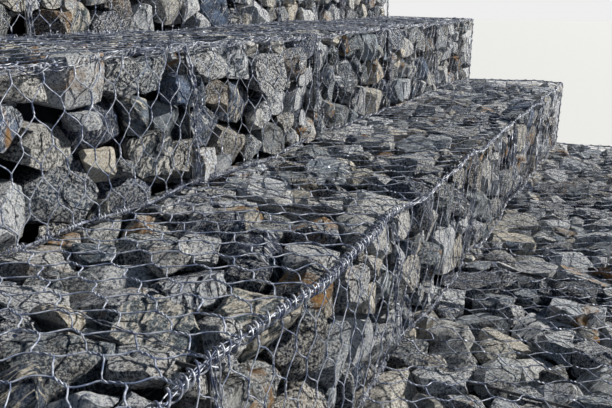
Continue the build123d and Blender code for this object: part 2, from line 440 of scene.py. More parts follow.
def stonePlanes(index, tier, bay, centres, sizes, rng, solid):
    # Planes that cut one stone: midway to its neighbours, along its basket's sides, and its own block's
    low, high = basketSides(tier, bay)
    centre, size = centres[index], sizes[index]
    squash = np.array([1, 1, stoneSizes["flatness"]])
    normals, distances = [], []
    reach = (centres - centre) * squash
    apart = np.linalg.norm(reach, axis=1)
    isClose = (apart > 0) & (apart < stoneSizes["neighbours"] * (sizes + size))
    for other in np.nonzero(isClose)[0]:
        towards = reach[other] / apart[other] * squash
        spread = np.linalg.norm(towards)
        normals.append(towards / spread)
        distances.append(apart[other] * size / (size + sizes[other]) / spread - stoneSizes["jointGap"])
    openSides = {(axis, side) for axis, side, *_ in exposedFaces(tier, bay, low, high)}
    for axis in range(3):
        for side, edge in ((-1, low), (1, high)):
            gap = abs(edge[axis] - centre[axis])
            if gap > stoneSizes["reach"] * size:
                continue
            normal = np.zeros(3)
            normal[axis] = side
            isOpen = (axis, side) in openSides
            if axis == 2 and side > 0 and centre[1] > tiers[tier]["lidEnd"]:
                isOpen = False
            if isOpen:
                surface, facet = surfaceAt(solid, axis, side, centre)
                if surface is not None:
                    gap = abs(surface - centre[axis])
                    normals.append(normal)
                    distances.append(gap + stoneSizes["proud"])
                    if facet @ normal > stoneSizes["alongSurface"]:
                        normal = normal + facet
                gap -= rng.uniform(*stoneSizes["recess"])
                normal = unit(unit(normal) + rng.normal(size=3) * stoneSizes["tilt"])
                slopes = shoulderPlanes(normal, gap, size, rng)
                normals += slopes[0]
                distances += slopes[1]
            normals.append(normal)
            distances.append(gap)
    block = blockPlanes(size, rng)
    thinnest = blockSizes["thinnest"] * size
    return unit(np.array(normals + block[0])), np.maximum(np.array(distances + block[1]), thinnest)


def roughen(points, rng, waves, length):
    # A lumpy pattern through space, about -1 to 1, with lumps of about this length
    vectors = unit(rng.normal(size=(waves, 3))) * (2 * math.pi / length)
    vectors *= rng.uniform(*blockSizes["lumpSpread"], (waves, 1))
    return np.sin(points @ vectors.T + rng.uniform(0, 2 * math.pi, waves)).sum(1) / waves ** 0.5


def stoneDetail(centre, outward):
    away = np.linalg.norm(centre - eye)
    isHidden = outward[1] > stoneSizes["turnedBack"] or abs(outward[0]) > stoneSizes["turnedToEnd"]
    if isHidden or away > stoneSizes["middleWithin"]:
        return "far"
    return "near" if away < stoneSizes["nearWithin"] else "middle"


def shapeStone(normals, distances, facing, detail, rng):
    # One stone's points around its centre, and its triangles
    wanted = stoneDirections(normals, distances, facing, pointSizes["spacing"][detail])
    directions, faces, _pairs = closedHull(wanted)
    directions = unit(directions)
    sharpness = rng.uniform(*blockSizes["sharpness"])
    share = np.clip(directions @ normals.T, 1e-4, None) / distances
    most = share.max(1)
    radius = 1 / (most * ((share / most[:, None]) ** sharpness).sum(1) ** (1 / sharpness))
    shape = directions * radius[:, None]
    lumps = np.zeros(len(shape))
    for height, waves, length in blockSizes["lumps"][:blockSizes["lumpLevels"][detail]]:
        lumps += height * roughen(shape, rng, waves, length)
    return shape + directions * lumps[:, None], faces


def buildStones(tier, bay):
    # All stones of one basket as one mesh, with attributes that turn and tint the pattern of each stone
    rng = np.random.default_rng(stoneSizes["seed"] + stoneSizes["tierSeed"] * tier + bay)
    solid = solidTree(tier, bay)
    centres, sizes, facing = scatterStones(tier, bay, rng, solid)
    points, faces, spots, tints, total = [], [], [], [], 0
    for index, centre in enumerate(centres):
        normals, distances = stonePlanes(index, tier, bay, centres, sizes, rng, solid)
        detail = stoneDetail(centre, facing[index])
        shape, triangles = shapeStone(normals, distances, facing[index], detail, rng)
        points.append(centre + shape)
        faces.append(triangles + total)
        total += len(shape)
        spots.append(shape @ turnTowards(unit(rng.normal(size=3)), rng) + rng.uniform(0, 30, 3))
        tints.append(np.tile(rng.random(4), (len(shape), 1)))
    points = np.vstack(points)
    points[:, 2] = np.maximum(points[:, 2], stoneSizes["lowest"])
    stones = meshObject(f"stones_t{tier + 1}_b{bay + 1}", points, np.vstack(faces))
    mesh = stones.data
    spotData = mesh.attributes.new("stoneSpot", "FLOAT_VECTOR", "POINT").data
    spotData.foreach_set("vector", np.vstack(spots).ravel())
    tintData = mesh.attributes.new("stoneTint", "FLOAT_COLOR", "POINT").data
    tintData.foreach_set("color", np.vstack(tints).ravel())
    mesh.shade_smooth()
    mesh.set_sharp_from_angle(angle=math.radians(stoneSizes["creaseAngle"]))
    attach(stones, "root")
    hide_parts(f"rock_fill_t{tier + 1}_b{bay + 1}")
    return stones, len(centres)


def buildAllStones():
    made, count, triangles = [], 0, 0
    for tier in range(len(tiers)):
        for bay in range(wall["bayCount"]):
            stones, stoneCount = buildStones(tier, bay)
            made.append(stones)
            count += stoneCount
            triangles += len(stones.data.polygons)
    print("stones:", count, "in", len(made), "baskets,", triangles, "triangles")
    return made


baskets = buildAllStones()

# Rubble behind the outer stones, near black as painted shade, so the gaps between them read dark
rubbleSizes = {
    "inset": 0.135, "topShare": 0.8,   # how far it stays behind the panels, and less than that under a lid
    "footGap": 0.004, "flatFoot": 0.01, "step": 0.12, "lump": 0.022, "seed": 900,
}


def buildRubble(tier):
    at = tiers[tier]
    inset = rubbleSizes["inset"]
    low = np.array([at["left"] + inset, at["front"] + inset, at["foot"] + rubbleSizes["footGap"]])
    high = np.array([at["right"] - inset, at["back"] - inset, at["head"] - inset * rubbleSizes["topShare"]])
    rubble = bmesh.new()
    counts = np.maximum(2, np.ceil((high - low) / rubbleSizes["step"]).astype(int))
    bmesh.ops.create_cube(rubble, size=1)
    for axis in range(3):
        for cut in range(1, counts[axis]):
            normal = [0, 0, 0]
            normal[axis] = 1
            place = [0, 0, 0]
            place[axis] = cut / counts[axis] - 0.5
            everything = rubble.verts[:] + rubble.edges[:] + rubble.faces[:]
            bmesh.ops.bisect_plane(rubble, geom=everything, plane_co=place, plane_no=normal)
    bmesh.ops.triangulate(rubble, faces=rubble.faces[:])
    mesh = bpy.data.meshes.new(f"rubble_tier_{tier + 1}")
    rubble.to_mesh(mesh)
    rubble.free()
    points = np.empty(len(mesh.vertices) * 3)
    mesh.vertices.foreach_get("co", points)
    points = low + (points.reshape(-1, 3) + 0.5) * (high - low)
    rng = np.random.default_rng(rubbleSizes["seed"] + tier)
    lumps = rng.normal(size=points.shape) * rubbleSizes["lump"]
    lumps[points[:, 2] < low[2] + rubbleSizes["flatFoot"], 2] = 0
    mesh.vertices.foreach_set("co", (points + lumps).ravel())
    piece = linkObject(mesh.name, mesh)
    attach(piece, "root")
    return piece


rubble = [buildRubble(tier) for tier in range(len(tiers))]
print("rubble made")

# The net lies on the stones: a sheet pulled over their high points

netSizes = {
    "cell": 0.016, "rounds": 160, "clearance": 0.005,
    "deepest": -0.05, "sag": 0.004,   # stones deeper than this don't count, and the net hangs in no further
    "columnPitch": 0.100, "rowPitch": 0.0915, "twistLength": 0.041, "turns": 1.5,
    "panel": {"Wire Radius": 0.0018, "Corner Bend": 0.006},
    "ledge": {"Wire Radius": 0.0021, "Corner Bend": 0.013},
    "bendSteps": 12,                 # a slanting wire's bends are drawn this finely before it is thinned
    "ribbon": {"Width": 3.6, "Height": 1.8},   # a plain twist's section, in wire radii
    "wander": {"panel": 0.0065, "ledge": 0.0095},
    "wavesAcross": (0.31, 0.17, 0.11), "wavesUp": (0.29, 0.19, 0.12), "slant": (1.7, 1.3),
    "heldEdge": 0.06,                # the wander fades this near to a laced edge
    "seed": 500, "tierSeed": 17,
    "nearLength": 2.0,               # this much of the wall, from the left end, has two-strand twists
}


def stoneHeights(face, cell):
    # Height of the stones over the flat panel, on a grid
    columns, rows = int(face["width"] / cell) + 2, int(face["height"] / cell) + 2
    heights = np.full((columns, rows), netSizes["deepest"])
    for bay in range(wall["bayCount"]):
        mesh = baskets[face["tier"] * wall["bayCount"] + bay].data
        points = np.empty(len(mesh.vertices) * 3)
        mesh.vertices.foreach_get("co", points)
        points = points.reshape(-1, 3)
        offset = points - face["corner"]
        u, v = offset @ face["uAxis"], offset @ face["vAxis"]
        height = (points - panelBase(face, u, v)) @ face["normal"]
        keep = (u >= 0) & (u <= face["width"]) & (v >= 0) & (v <= face["height"])
        keep &= height > netSizes["deepest"]
        at = (np.rint(u[keep] / cell).astype(int), np.rint(v[keep] / cell).astype(int))
        np.maximum.at(heights, at, height[keep])
    return heights


def stretchOver(face):
    # Height of the net over the flat panel: fixed at its edges, held up by the stones, tight between
    cell = netSizes["cell"]
    stones = stoneHeights(face, cell) + netSizes["clearance"]
    floor = stones.copy()
    floor[0, :] = floor[-1, :] = floor[:, 0] = floor[:, -1] = 0.0
    floor[1:-1, 1:-1] = np.maximum(stones[1:-1, 1:-1], -netSizes["sag"])
    sheet = np.maximum(floor, 0.0)
    for _ in range(netSizes["rounds"]):
        middle = (sheet[:-2, 1:-1] + sheet[2:, 1:-1] + sheet[1:-1, :-2] + sheet[1:-1, 2:]) / 4
        sheet[1:-1, 1:-1] = np.maximum(middle, floor[1:-1, 1:-1])
    return sheet


def sampleSheet(sheet, cell, u, v):
    column = np.clip(u / cell, 0, sheet.shape[0] - 1.001)
    row = np.clip(v / cell, 0, sheet.shape[1] - 1.001)
    left, low = column.astype(int), row.astype(int)
    across, up = column - left, row - low
    bottom = sheet[left, low] * (1 - across) + sheet[left + 1, low] * across
    top = sheet[left, low + 1] * (1 - across) + sheet[left + 1, low + 1] * across
    return bottom * (1 - up) + top * up


# Geometry node trees

def addNode(tree, kind, inputs=None, **settings):
    node = tree.nodes.new(kind)
    for key, value in settings.items():
        setattr(node, key, value)
    for key, value in (inputs or {}).items():
        if isinstance(value, bpy.types.NodeSocket):
            tree.links.new(value, node.inputs[key])
        else:
            node.inputs[key].default_value = value
    return node


def calculate(tree, operation, first, second=None):
    inputs = {0: first} if second is None else {0: first, 1: second}
    return addNode(tree, "ShaderNodeMath", inputs, operation=operation).outputs[0]


def vectorMath(tree, operation, first, second=None, scale=None):
    inputs = {0: first, 1: second, "Scale": scale}
    inputs = {key: value for key, value in inputs.items() if value is not None}
    return addNode(tree, "ShaderNodeVectorMath", inputs, operation=operation).outputs[0]


def combine(tree, x=0.0, y=0.0, z=0.0):
    return addNode(tree, "ShaderNodeCombineXYZ", {"X": x, "Y": y, "Z": z}).outputs[0]


def newTree(name, inputs):
    # A geometry tree with a geometry output and these named inputs
    tree = bpy.data.node_groups.new(name, "GeometryNodeTree")
    tree.interface.new_socket("Geometry", in_out="INPUT", socket_type="NodeSocketGeometry")
    for label, kind, value in inputs:
        socket = tree.interface.new_socket(label, in_out="INPUT", socket_type=f"NodeSocket{kind}")
        if value is not None:
            socket.default_value = value
    tree.interface.new_socket("Geometry", in_out="OUTPUT", socket_type="NodeSocketGeometry")
    return tree, addNode(tree, "NodeGroupInput"), addNode(tree, "NodeGroupOutput")


def runTree(name, tree, values, material, source=None):
    # Runs a tree on an empty mesh or a given source and returns its result as a plain mesh object
    host = source or linkObject(name + "Host", bpy.data.meshes.new(name + "Host"))
    values = {**values, "Material": material}
    modifier = host.modifiers.new("shape", "NODES")
    modifier.node_group = tree
    for item in tree.interface.items_tree:
        if item.item_type == "SOCKET" and item.in_out == "INPUT" and item.name in values:
            modifier[item.identifier] = values[item.name]
    host.update_tag()
    bpy.context.view_layer.update()
    ready = host.evaluated_get(bpy.context.evaluated_depsgraph_get())
    mesh = bpy.data.meshes.new_from_object(ready)
    mesh.name = name
    host.modifiers.remove(modifier)
    bpy.data.objects.remove(host)
    return linkObject(name, mesh)


def finishTree(tree, shape, material, result):
    # The export drops instances, so a tree ends in real, painted geometry
    real = addNode(tree, "GeometryNodeRealizeInstances", {"Geometry": shape}).outputs[0]
    painted = addNode(tree, "GeometryNodeSetMaterial", {"Geometry": real, "Material": material}).outputs[0]
    tree.links.new(painted, result.inputs[0])
    return tree


def netTree():
    # Flat hexagonal net in the XY plane: rows of twists, each joined to the next row by two slanting wires
    tree, given, result = newTree("hexNet", [
        ("Columns", "Int", 10), ("Rows", "Int", 5), ("Column Pitch", "Float", 0.1),
        ("Row Pitch", "Float", 0.09), ("Twist Length", "Float", 0.04), ("Turns", "Float", 1.5),
        ("Wire Radius", "Float", 0.002), ("Wire Sides", "Int", 4), ("Wire Steps", "Int", 3),
        ("Twist Steps", "Int", 5), ("Corner Bend", "Float", 0.012), ("Two Strands", "Bool", False),
        ("Material", "Material", None),
    ])
    value = given.outputs
    index = addNode(tree, "GeometryNodeInputIndex").outputs[0]
    row = calculate(tree, "FLOOR", calculate(tree, "DIVIDE", index, value["Columns"]))
    column = calculate(tree, "SUBTRACT", index, calculate(tree, "MULTIPLY", row, value["Columns"]))
    shift = calculate(tree, "MULTIPLY", calculate(tree, "MODULO", row, 2.0), 0.5)
    across = calculate(tree, "MULTIPLY", calculate(tree, "ADD", column, shift), value["Column Pitch"])
    up = calculate(tree, "MULTIPLY", row, value["Row Pitch"])
    place = combine(tree, across, up)
    count = calculate(tree, "MULTIPLY", value["Columns"], value["Rows"])
    knots = addNode(tree, "GeometryNodePoints", {"Count": count, "Position": place}).outputs[0]

    half = calculate(tree, "MULTIPLY", value["Twist Length"], 0.5)
    bottom = combine(tree, y=calculate(tree, "MULTIPLY", half, -1.0))
    top = combine(tree, y=half)
    spine = addNode(tree, "GeometryNodeCurvePrimitiveLine", {"Start": bottom, "End": top}).outputs[0]
    spine = addNode(tree, "GeometryNodeResampleCurve", {
        "Curve": spine, "Count": calculate(tree, "ADD", value["Twist Steps"], 1.0)}).outputs[0]
    factor = addNode(tree, "GeometryNodeSplineParameter").outputs["Factor"]
    turn = calculate(tree, "MULTIPLY", calculate(tree, "MULTIPLY", factor, value["Turns"]), 2 * math.pi)
    spine = addNode(tree, "GeometryNodeSetCurveTilt", {"Curve": spine, "Tilt": turn}).outputs[0]

    strand = addNode(tree, "GeometryNodeCurvePrimitiveCircle", {
        "Resolution": value["Wire Sides"], "Radius": value["Wire Radius"]}).outputs[0]
    sideways = combine(tree, value["Wire Radius"])
    otherWay = vectorMath(tree, "SCALE", sideways, scale=-1.0)
    pair = addNode(tree, "GeometryNodeJoinGeometry")
    for away in (sideways, otherWay):
        moved = addNode(tree, "GeometryNodeTransform", {"Geometry": strand, "Translation": away}).outputs[0]
        tree.links.new(moved, pair.inputs[0])
    ribbon = addNode(tree, "GeometryNodeCurvePrimitiveQuadrilateral", {
        side: calculate(tree, "MULTIPLY", value["Wire Radius"], radii)
        for side, radii in netSizes["ribbon"].items()}).outputs[0]
    section = addNode(tree, "GeometryNodeSwitch", {
        "Switch": value["Two Strands"], "False": ribbon, "True": pair.outputs[0]},
        input_type="GEOMETRY").outputs[0]
    twist = addNode(tree, "GeometryNodeCurveToMesh", {
        "Curve": spine, "Profile Curve": section, "Fill Caps": True}).outputs[0]

    cell = addNode(tree, "GeometryNodeJoinGeometry")
    tree.links.new(twist, cell.inputs[0])
    rise = calculate(tree, "SUBTRACT", value["Row Pitch"], half)
    bend = combine(tree, y=value["Corner Bend"])
    for side in (-0.5, 0.5):
        end = combine(tree, calculate(tree, "MULTIPLY", value["Column Pitch"], side), rise)
        leaving = vectorMath(tree, "ADD", top, bend)
        arriving = vectorMath(tree, "SUBTRACT", end, bend)
        slant = addNode(tree, "GeometryNodeCurvePrimitiveBezierSegment", {
            "Start": top, "Start Handle": leaving, "End Handle": arriving, "End": end,
            "Resolution": netSizes["bendSteps"]}).outputs[0]
        slant = addNode(tree, "GeometryNodeResampleCurve", {
            "Curve": slant, "Count": calculate(tree, "ADD", value["Wire Steps"], 1.0)}).outputs[0]
        wire = addNode(tree, "GeometryNodeCurveToMesh", {
            "Curve": slant, "Profile Curve": strand, "Fill Caps": True}).outputs[0]
        tree.links.new(wire, cell.inputs[0])

    placed = addNode(tree, "GeometryNodeInstanceOnPoints", {"Points": knots, "Instance": cell.outputs[0]})
    return finishTree(tree, placed.outputs[0], value["Material"], result)


def drapeNet(piece, face, sheet, start):
    # Moves a flat net onto its panel and over the stones
    mesh = piece.data
    flat = np.empty(len(mesh.vertices) * 3)
    mesh.vertices.foreach_get("co", flat)
    flat = flat.reshape(-1, 3)
    u, v = flat[:, 0] + start, flat[:, 1] + netSizes["twistLength"] / 2
    seed = netSizes["seed"] + netSizes["tierSeed"] * face["tier"] + len(face["side"])
    wander = netSizes["wander"]["ledge" if face["side"] == "lid" else "panel"]
    free = wander * np.clip(np.minimum(v, face["height"] - v) / netSizes["heldEdge"], 0, 1)
    acrossSlant, upSlant = netSizes["slant"]
    u = u + free * slowWave(u + acrossSlant * v, seed, netSizes["wavesAcross"])
    v = v + free * slowWave(v - upSlant * u, seed + 1, netSizes["wavesUp"])
    u, v = np.clip(u, 0, face["width"]), np.clip(v, 0, face["height"])
    height = sampleSheet(sheet, netSizes["cell"], u, v) + flat[:, 2]
    points = panelBase(face, u, v) + height[:, None] * face["normal"]
    mesh.vertices.foreach_set("co", points.ravel())
    mesh.shade_smooth()


netDetails = {
    "near": {"Wire Sides": 4, "Wire Steps": 5, "Twist Steps": 5, "Two Strands": True},
    "middle": {"Wire Sides": 3, "Wire Steps": 2, "Twist Steps": 3, "Two Strands": False},
    "far": {"Wire Sides": 3, "Wire Steps": 1, "Twist Steps": 1, "Two Strands": False},
}
seenClose = ("front_tier_2", "front_tier_3", "lid_tier_1", "lid_tier_2")


def buildNet(face, tree, material):
    # One panel's net, in two stretches where its left end is seen from close by
    sheet = stretchOver(face)
    pitch, near = netSizes["columnPitch"], netSizes["nearLength"]
    plain = "middle" if face["side"] in ("front", "lid") else "far"
    stretches = [(0.0, face["width"], plain)]
    if face["name"] in seenClose:
        stretches = [(0.0, near, "near"), (near, face["width"], plain)]
    nets = []
    for start, end, detail in stretches:
        values = {
            **netDetails[detail],
            "Columns": round((end - start) / pitch), "Rows": math.ceil(face["height"] / netSizes["rowPitch"]),
            "Column Pitch": pitch, "Row Pitch": netSizes["rowPitch"], "Twist Length": netSizes["twistLength"],
            "Turns": netSizes["turns"], **netSizes["ledge" if face["side"] == "lid" else "panel"],
        }
        name = f"net_{face['name']}" + ("_near" if detail == "near" else "")
        net = runTree(name, tree, values, material)
        drapeNet(net, face, sheet, start)
        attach(net, "root")
        nets.append(net)
    return sheet, nets


# Edge wires, seam wires and the lacing wound around them

bundleSizes = {
    "head": {"Strands": 2, "Pitch": 0.20, "Reach": 0.0050, "Wire Radius": 0.0017, "Wire Sides": 4,
             "Step": 0.020, "Wander": 0.0060},
    "looseHead": {"Strands": 5, "Pitch": 0.17, "Reach": 0.0060, "Wire Radius": 0.0012, "Wire Sides": 3,
                  "Step": 0.014, "Wander": 0.0170},
    "foot": {"Strands": 2, "Pitch": 0.30, "Reach": 0.0028, "Wire Radius": 0.0014, "Wire Sides": 4,
             "Step": 0.030, "Wander": 0.0030},
    "seam": {"Strands": 4, "Pitch": 0.45, "Reach": 0.0065, "Wire Radius": 0.0018, "Wire Sides": 4,
             "Step": 0.022, "Wander": 0.0100},
    "plain": {"Strands": 3, "Pitch": 0.60, "Reach": 0.0040, "Wire Radius": 0.0026, "Wire Sides": 3,
              "Step": 0.075, "Wander": 0.0022},
    "lid": {"Strands": 2, "Pitch": 0.16, "Reach": 0.0030, "Wire Radius": 0.0014, "Wire Sides": 3,
            "Step": 0.022, "Wander": 0.0080},
}
lacingSizes = {
    "chain": {"Strands": 2, "Pitch": 0.052, "Reach": 0.0140, "Wire Radius": 0.0026, "Wire Sides": 4,
              "Step": 0.0042, "Bunching": 0.14, "Bunch Length": 0.115, "Wander": 0.0035},
    "loose": {"Strands": 2, "Pitch": 0.070, "Reach": 0.0105, "Wire Radius": 0.0015, "Wire Sides": 4,
              "Step": 0.0050, "Bunching": 0.50, "Bunch Length": 0.19, "Wander": 0.0080},
    "foot": {"Strands": 1, "Pitch": 0.0190, "Reach": 0.0118, "Wire Radius": 0.0017, "Wire Sides": 4,
             "Step": 0.0017, "Bunching": 0.80, "Bunch Length": 0.10, "Wander": 0.0006},
    "seam": {"Strands": 1, "Pitch": 0.0500, "Reach": 0.0100, "Wire Radius": 0.0019, "Wire Sides": 3,
             "Step": 0.0042, "Bunching": 0.90, "Bunch Length": 0.17, "Wander": 0.0030},
    "plain": {"Strands": 1, "Pitch": 0.0700, "Reach": 0.0088, "Wire Radius": 0.0026, "Wire Sides": 3,
              "Step": 0.0110, "Bunching": 0.0, "Bunch Length": 0.10, "Wander": 0.0008},
    "chainLength": 2.1,     # the lower heads are laced as a chain this far, and looser after it
    "closeLength": 2.4,     # past this length the lacing is plain
    "closeSeams": 3,        # and so it is on the seams after these
    "chainedTiers": 2,      # and these are the tiers, from below, with a chain
}
windSizes = {
    "leaning": (0.31, 0.52, 0.79),   # no guide line runs this way
    "drift": 11.0, "driftDetail": 2.0, "driftGain": 4.0,   # the noise that a wire wanders by
    "lane": 3.7,                     # how far apart two strands read that noise
}
guideSizes = {
    "step": 0.04, "cornerPoints": 12,
    "seamLift": 0.003, "seamWander": 0.004, "seamWaves": (0.5, 0.23), "seamSeed": 5, "seamHump": 0.7,
}


def wireTree():
    # Wires wound along guide lines: a few slow turns make a bundle, many quick ones make lacing
    tree, given, result = newTree("woundWires", [
        ("Strands", "Int", 1), ("Pitch", "Float", 0.05), ("Reach", "Float", 0.008),
        ("Wire Radius", "Float", 0.002), ("Wire Sides", "Int", 4), ("Step", "Float", 0.01),
        ("Bunching", "Float", 0.0), ("Bunch Length", "Float", 0.1), ("Wander", "Float", 0.0008),
        ("Seed", "Float", 0.0), ("Material", "Material", None),
    ])
    value = given.outputs
    guides = addNode(tree, "GeometryNodeMeshToCurve", {"Mesh": value["Geometry"]}).outputs[0]
    copies = addNode(tree, "GeometryNodeDuplicateElements", {
        "Geometry": guides, "Amount": value["Strands"]}, domain="SPLINE")
    fine = addNode(tree, "GeometryNodeResampleCurve", {
        "Curve": copies.outputs["Geometry"], "Length": value["Step"]}, mode="LENGTH").outputs[0]
    along = addNode(tree, "GeometryNodeSplineParameter").outputs["Length"]
    share = calculate(tree, "DIVIDE", copies.outputs["Duplicate Index"], value["Strands"])
    phase = calculate(tree, "DIVIDE", calculate(tree, "MULTIPLY", along, 2 * math.pi), value["Bunch Length"])
    wave = calculate(tree, "SINE", phase)
    turns = calculate(tree, "ADD", calculate(tree, "DIVIDE", along, value["Pitch"]), share)
    turns = calculate(tree, "ADD", turns, calculate(tree, "MULTIPLY", wave, value["Bunching"]))
    angle = calculate(tree, "MULTIPLY", turns, 2 * math.pi)

    tangent = addNode(tree, "GeometryNodeInputTangent").outputs[0]
    leaning = combine(tree, *windSizes["leaning"])
    sideways = vectorMath(tree, "NORMALIZE", vectorMath(tree, "CROSS_PRODUCT", tangent, leaning))
    upward = vectorMath(tree, "CROSS_PRODUCT", sideways, tangent)
    turned = []
    for direction, part in ((sideways, "COSINE"), (upward, "SINE")):
        reach = calculate(tree, "MULTIPLY", calculate(tree, part, angle), value["Reach"])
        turned.append(vectorMath(tree, "SCALE", direction, scale=reach))
    where = addNode(tree, "GeometryNodeInputPosition").outputs[0]
    lane = calculate(tree, "MULTIPLY", copies.outputs["Duplicate Index"], windSizes["lane"])
    drift = addNode(tree, "ShaderNodeTexNoise", {
        "Vector": where, "W": calculate(tree, "ADD", lane, value["Seed"]),
        "Scale": windSizes["drift"], "Detail": windSizes["driftDetail"]}, noise_dimensions="4D")
    drift = vectorMath(tree, "SUBTRACT", drift.outputs["Color"], combine(tree, 0.5, 0.5, 0.5))
    gain = calculate(tree, "MULTIPLY", value["Wander"], windSizes["driftGain"])
    drift = vectorMath(tree, "SCALE", drift, scale=gain)
    offset = vectorMath(tree, "ADD", vectorMath(tree, "ADD", *turned), drift)
    wound = addNode(tree, "GeometryNodeSetPosition", {"Geometry": fine, "Offset": offset}).outputs[0]

    section = addNode(tree, "GeometryNodeCurvePrimitiveCircle", {
        "Resolution": value["Wire Sides"], "Radius": value["Wire Radius"]}).outputs[0]
    wires = addNode(tree, "GeometryNodeCurveToMesh", {
        "Curve": wound, "Profile Curve": section, "Fill Caps": True}).outputs[0]
    return finishTree(tree, wires, value["Material"], result)


def guideObject(name, lines):
    # Lines of points as one mesh of edges, for the tree to wind wires along
    points, edges, total = [], [], 0
    for line in lines:
        points.append(line)
        edges.extend((total + step, total + step + 1) for step in range(len(line) - 1))
        total += len(line)
    mesh = bpy.data.meshes.new(name)
    mesh.from_pydata(np.vstack(points).tolist(), edges, [])
    return linkObject(name, mesh)


def edgeLine(face, share, start=0.0, end=None):
    # Points along a panel's lower (share 0) or upper (share 1) edge
    end = face["width"] if end is None else end
    u = np.linspace(start, end, max(2, round((end - start) / guideSizes["step"])))
    return panelBase(face, u, np.full_like(u, share * face["height"]))


def seamLine(face, sheet, u):
    # Points up a panel over a seam between two baskets, lying on the net and straight at both ends
    v = np.linspace(0, face["height"], max(2, round(face["height"] / guideSizes["step"])))
    hump = np.clip(1 - (2 * v / face["height"] - 1) ** 2, 0, 1) ** guideSizes["seamHump"]
    wave = slowWave(v + u, face["tier"] + guideSizes["seamSeed"], guideSizes["seamWaves"])
    across = np.full_like(v, u) + guideSizes["seamWander"] * wave * hump
    height = sampleSheet(sheet, netSizes["cell"], across, v) + guideSizes["seamLift"]
    return panelBase(face, across, v) + height[:, None] * face["normal"]


def windWires(name, tree, values, material, lines):
    values = {**values, "Seed": float(len(name))}
    piece = runTree(name, tree, values, material, guideObject(name + "Guide", lines))
    piece.data.shade_smooth()
    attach(piece, "root")
    return piece


def tierLines(tier, panels):
    # Guide lines of one tier: seams in front, on the lid and at the back, upright corners, plain edges
    at = tiers[tier]
    face = {side: panels[f"{side}_tier_{tier + 1}"][0] for side in ("front", "back", "left", "right", "lid")}
    sheet = {side: panels[f"{side}_tier_{tier + 1}"][1] for side in face}
    seams = [bay * wall["bay"] for bay in range(1, wall["bayCount"])]
    lines = {side: [seamLine(face[side], sheet[side], u) for u in seams] for side in ("front", "lid", "back")}
    lines["corners"] = []
    for side in ("left", "right"):
        for u in (0.0, face[side]["width"]):
            v = np.linspace(0, face[side]["height"], guideSizes["cornerPoints"])
            lines["corners"].append(panelBase(face[side], np.full_like(v, u), v))
    lines["plain"] = [edgeLine(face[side], 0) for side in ("back", "left", "right")]
    if tier == len(tiers) - 1:
        lines["plain"] += [edgeLine(face[side], 1) for side in ("back", "left", "right")]
    else:
        depth, stepDepth = face["left"]["width"], at["lidEnd"] - at["front"]
        lines["plain"].append(edgeLine(face["left"], 1, depth - stepDepth, depth))
        lines["plain"].append(edgeLine(face["right"], 1, 0, stepDepth))
    return face["front"], lines


def buildEdges(tree, wires, panels):
    # Bundles along every laced edge and seam, then the lacing around them
    made = []
    chain, near, closeSeams = (lacingSizes[key] for key in ("chainLength", "closeLength", "closeSeams"))
    plain, footShade = wires["edgeWire"], wires["shadedFootWire"]
    for tier in range(len(tiers)):
        front, lines = tierLines(tier, panels)
        chained = chain if tier < lacingSizes["chainedTiers"] else 0
        hidden = lines["back"] + lines["corners"]
        far = [edgeLine(front, share, near) for share in (0, 1)]
        wound = [
            ("edge_wires", bundleSizes["head" if chained else "looseHead"], plain, [edgeLine(front, 1)]),
            # The foot bundles take the darker wire colour, as painted shade
            ("edge_wires_foot", bundleSizes["foot"], footShade, [edgeLine(front, 0)]),
            ("edge_wires_seams", bundleSizes["seam"], plain, lines["front"]),
            ("edge_wires_back", bundleSizes["plain"], plain, lines["plain"] + hidden),
            ("edge_wires_lid", bundleSizes["lid"], plain, lines["lid"]),
        ]
        if chained:
            wound.append(("lacing_chain", lacingSizes["chain"], plain, [edgeLine(front, 1, 0, chained)]))
        wound += [
            ("lacing_head", lacingSizes["loose"], plain, [edgeLine(front, 1, chained, near)]),
            ("lacing_foot", lacingSizes["foot"], plain, [edgeLine(front, 0, 0, near)]),
            ("lacing_seams", lacingSizes["seam"], plain, lines["front"][:closeSeams]),
            ("lacing_back", lacingSizes["plain"], plain,
             far + lines["plain"] + hidden + lines["front"][closeSeams:]),
        ]
        for name, values, material, guides in wound:
            piece = windWires(f"{name}_tier_{tier + 1}", tree, values, material, guides)
            if name == "edge_wires":
                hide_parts(f"wire_cage_tier_{tier + 1}")
            made.append(piece)
    return made
